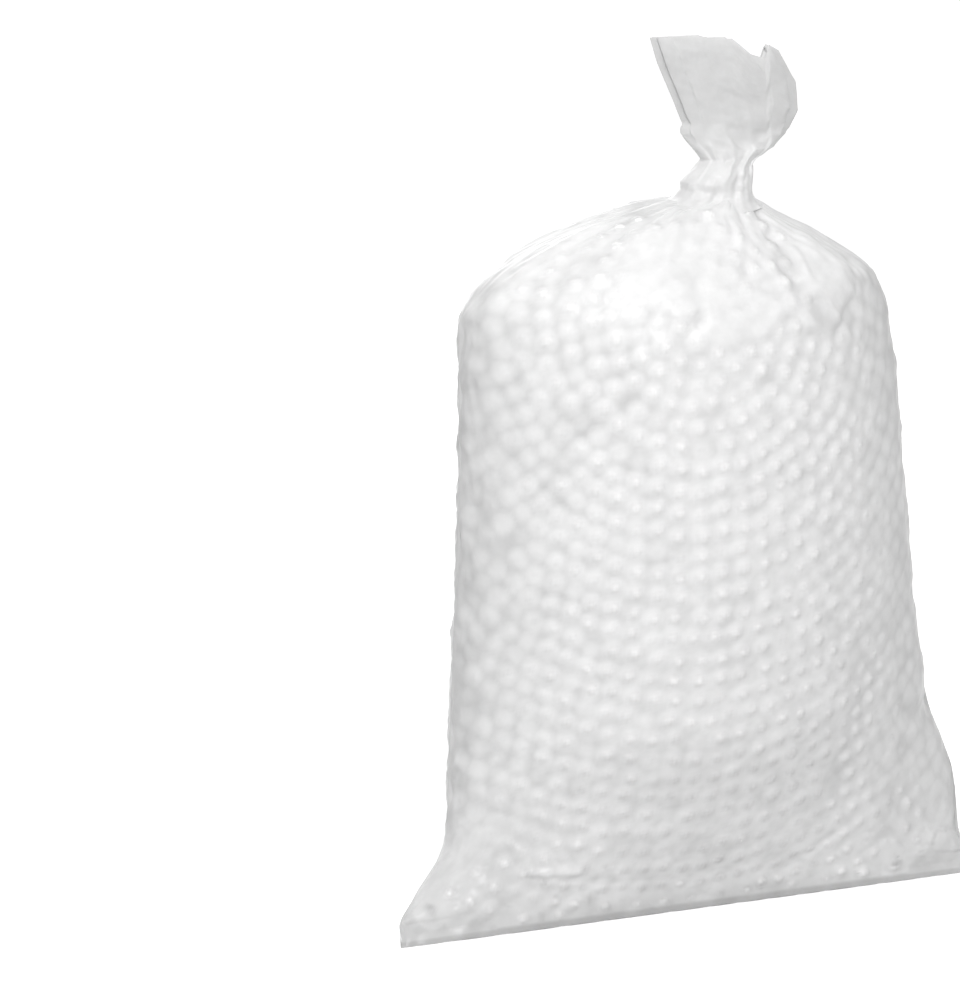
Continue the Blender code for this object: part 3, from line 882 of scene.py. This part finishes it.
class BAG_OT_knot(bpy.types.Operator):
    """Gather the film into its knot and a flared, crumpled tail"""

    bl_idname = "bag.knot"
    bl_label = "Knot and Tail"

    def execute(self, context):
        sizes, finish = context.scene.bag_sizes, context.scene.bag_finish
        material = film_material("gathered_film", finish, **GATHERED_LOOK)
        rings, columns = KNOT_GRID
        share = np.linspace(GATHERED[0][0], 1, rings)[:, None]
        turn = 2 * math.pi * np.arange(columns)[None, :] / columns
        points = self.gathered(share, turn, sizes)
        piece = make_piece("film_knot", points.reshape(-1, 3), grid_faces(rings, columns), material)
        # Painted shade: the slack mask turns the haze a darker grey from the knot up into the tail
        add_mask(piece, "slack_and_shade", (0.15 + 0.52 * eased(-0.1, 0.4, share)) * np.ones_like(turn))
        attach(piece, "root")
        return {"FINISHED"}

    def gathered(self, share, turn, sizes):
        """Points from below the knot to the mouth of the tail, at these shares of the way up."""
        length, knot = sizes.tail_length / MM, sizes.knot_height / MM
        knot_top = (sizes.shoulder_height + sizes.neck_rise + sizes.knot_height) / MM
        at, *widths = zip(*GATHERED)
        left, right, deep = (np.interp(share, at, width) for width in widths)
        across, out = np.cos(turn), np.sin(turn)
        loose = eased(0, 0.4, share)
        twist = turn + 0.25 * (1 - loose)
        # Uneven pleats, 13 deep and 23 shallow ones round the neck
        gather = np.cos(13 * twist + 0.9 * np.sin(2 * turn) + 0.5) + 0.45 * np.cos(23 * twist - 1.2)
        crumple = waves(31, turn * 9, share * 40, 9) + 0.5 * waves(32, turn * 9, share * 40, 4)
        folds = gather * (0.32 - 0.2 * loose) + (0.48 - 0.22 * loose) * crumple
        x = NECK_PLACE[0] + (right - left) / 2 + (left + right) / 2 * across * (1 - 0.05 * gather * loose)
        depth = deep * out + folds * (0.35 + 0.65 * np.abs(out))
        top = np.interp(x - NECK_PLACE[0], *zip(*TAIL_RIM)) - 40 + length
        rise = np.where(share > 0, share * top, share / 0.3 * (knot + 1.5))
        z = knot_top + rise + 0.25 * crumple * (1 - loose)
        return np.stack(np.broadcast_arrays(x, NECK_PLACE[1] - depth, z), axis=-1)


KEY_LAMP = (0.18, (-0.16, -0.875, 0.93))  # diameter and place; the studio is in metres
BACK_LAMP = (0.9, (-0.12, 1.06, 0.45))
LAMP_AIM = (0.0, 0.0, 0.13)
ROOM_LEAN = 0.5  # how much brighter the room is on the left, and darker on the right, than in the middle
BACKDROP = (1.2, 0.8, 4.0)  # how far behind the bag it bends up, the bend's radius, and its reach
FLOOR_DROP = 0.0002
PAPER_GLOW = 0.72
CAMERA_TURN = (-18.517, 14.639)  # degrees round from the front, and up
CAMERA_AIM = (-0.0652, 0.0, 0.1376)
CAMERA_LENS = 102.3


def paper_material(studio):
    """Matt paper with a faint grain, which looks brighter to the camera than it lights the bag."""
    material, tree = new_material("studio_paper")
    place = add_node(tree, "ShaderNodeTexCoord").outputs["Object"]
    grain = add_node(tree, "ShaderNodeTexNoise", {"Vector": place, "Scale": 300.0}).outputs["Fac"]
    tint = mix_colours(tree, grain, shade(studio.floor_colour, 0.99), shade(studio.floor_colour, 1.01))
    skin = {"Base Color": tint, "Roughness": 0.9, "Specular IOR Level": 0.1}
    paper = set_inputs(tree, tree.nodes["Principled BSDF"], skin).outputs[0]
    ray = add_node(tree, "ShaderNodeLightPath").outputs
    seen = calculate(tree, "MAXIMUM", ray["Is Camera Ray"], ray["Is Glossy Ray"])
    seen = calculate(tree, "MAXIMUM", seen, ray["Is Transmission Ray"])
    glow = add_node(tree, "ShaderNodeEmission", {"Strength": PAPER_GLOW}).outputs[0]
    bright = add_node(tree, "ShaderNodeAddShader", {0: paper, 1: glow}).outputs[0]
    set_inputs(tree, tree.nodes["Material Output"], {"Surface": mix_shaders(tree, seen, paper, bright)})
    return material


class BAG_OT_stage(bpy.types.Operator):
    """Set up the pale floor, the lamps and the camera"""

    bl_idname = "bag.stage"
    bl_label = "Studio"

    def execute(self, context):
        scene, studio = context.scene, context.scene.bag_studio
        scene.view_settings.view_transform = "Standard"
        scene.cycles.diffuse_bounces = 8
        scene.cycles.transparent_max_bounces = 24
        self.floor(studio)
        self.world(scene, studio)
        self.lamp("key_lamp", studio.key_power, *KEY_LAMP)
        self.lamp("back_lamp", studio.back_power, *BACK_LAMP)
        self.camera(scene, studio)
        return {"FINISHED"}

    def floor(self, studio):
        """One sheet that runs along the floor and turns up behind as a backdrop."""
        start, radius, reach = BACKDROP
        profile = [(-3.0, 0.0), (start, 0.0)]
        for angle in np.linspace(0.1, math.pi / 2, 14):
            profile.append((start + radius * math.sin(angle), radius - radius * math.cos(angle)))
        profile.append((start + radius, reach))
        points = [(x, y, z - FLOOR_DROP) for y, z in profile for x in (-reach, reach)]
        faces = [(2 * i, 2 * i + 1, 2 * i + 3, 2 * i + 2) for i in range(len(profile) - 1)]
        floor = make_piece("studio_floor", np.array(points) / MM, faces, paper_material(studio))

    def world(self, scene, studio):
        """A white room, brighter from the left, and plain white where the camera sees it."""
        world = bpy.data.worlds.new("studio_room")
        scene.world = world
        world.use_nodes = True
        tree = world.node_tree
        direction = add_node(tree, "ShaderNodeTexCoord").outputs["Generated"]
        right = add_node(tree, "ShaderNodeSeparateXYZ", {0: direction}).outputs["X"]
        level = calculate(tree, "MULTIPLY_ADD", right, -ROOM_LEAN * studio.sky_level, studio.sky_level)
        room = set_inputs(tree, tree.nodes["Background"], {"Color": grey(1.0), "Strength": level})
        behind = add_node(tree, "ShaderNodeBackground", {"Color": grey(1.0), "Strength": 1.0})
        seen = add_node(tree, "ShaderNodeLightPath").outputs["Is Camera Ray"]
        both = mix_shaders(tree, seen, room.outputs[0], behind.outputs[0])
        set_inputs(tree, tree.nodes["World Output"], {"Surface": both})

    def lamp(self, name, power, size, place):
        """A round lamp that the camera doesn't see, aimed at the middle of the bag."""
        light = bpy.data.lights.new(name, "AREA")
        light.shape = "DISK"
        light.size = size
        light.energy = power
        lamp = bpy.data.objects.new(name, light)
        bpy.context.scene.collection.objects.link(lamp)
        lamp.visible_camera = False
        lamp.location = place
        lamp.rotation_euler = (Vector(LAMP_AIM) - Vector(place)).to_track_quat("-Z", "Y").to_euler()

    def camera(self, scene, studio):
        """The camera of the photo, from the left of the front and a little above."""
        azimuth, elevation = (math.radians(angle) for angle in CAMERA_TURN)
        level = math.cos(elevation)
        back = Vector((math.sin(azimuth) * level, -math.cos(azimuth) * level, math.sin(elevation)))
        data = bpy.data.cameras.new("photo_camera")
        data.sensor_width = 36.0
        data.lens = CAMERA_LENS
        data.clip_start = 0.01
        camera = bpy.data.objects.new("photo_camera", data)
        camera.location = Vector(CAMERA_AIM) + back * studio.camera_distance
        camera.rotation_euler = (-back).to_track_quat("-Z", "Y").to_euler()
        scene.collection.objects.link(camera)
        scene.camera = camera


class BAG_PT_panel(bpy.types.Panel):
    """Lists the bag's sizes and finishes, and the steps that build it"""

    bl_label = "Bag of Polystyrene Beads"
    bl_space_type = "VIEW_3D"
    bl_region_type = "UI"
    bl_category = "Bead Bag"

    def draw(self, context):
        scene = context.scene
        for settings in (scene.bag_sizes, scene.bag_finish, scene.bag_studio):
            for name in type(settings).__annotations__:
                self.layout.prop(settings, name)
        for operator in OPERATORS:
            self.layout.operator(operator.bl_idname)


GROUPS = (BagSizes, BagFinish, StudioSettings)
OPERATORS = (BAG_OT_fill, BAG_OT_film, BAG_OT_knot, BAG_OT_stage)


def register():
    for kind in (*GROUPS, *OPERATORS, BAG_PT_panel):
        bpy.utils.register_class(kind)
    bpy.types.Scene.bag_sizes = bpy.props.PointerProperty(type=BagSizes)
    bpy.types.Scene.bag_finish = bpy.props.PointerProperty(type=BagFinish)
    bpy.types.Scene.bag_studio = bpy.props.PointerProperty(type=StudioSettings)


def unregister():
    del bpy.types.Scene.bag_studio, bpy.types.Scene.bag_finish, bpy.types.Scene.bag_sizes
    for kind in reversed((*GROUPS, *OPERATORS, BAG_PT_panel)):
        bpy.utils.unregister_class(kind)


def main():
    register()
    bpy.ops.bag.fill()
    bpy.ops.bag.film()
    bpy.ops.bag.knot()
    bpy.ops.bag.stage()


if __name__ == "__main__":
    main()
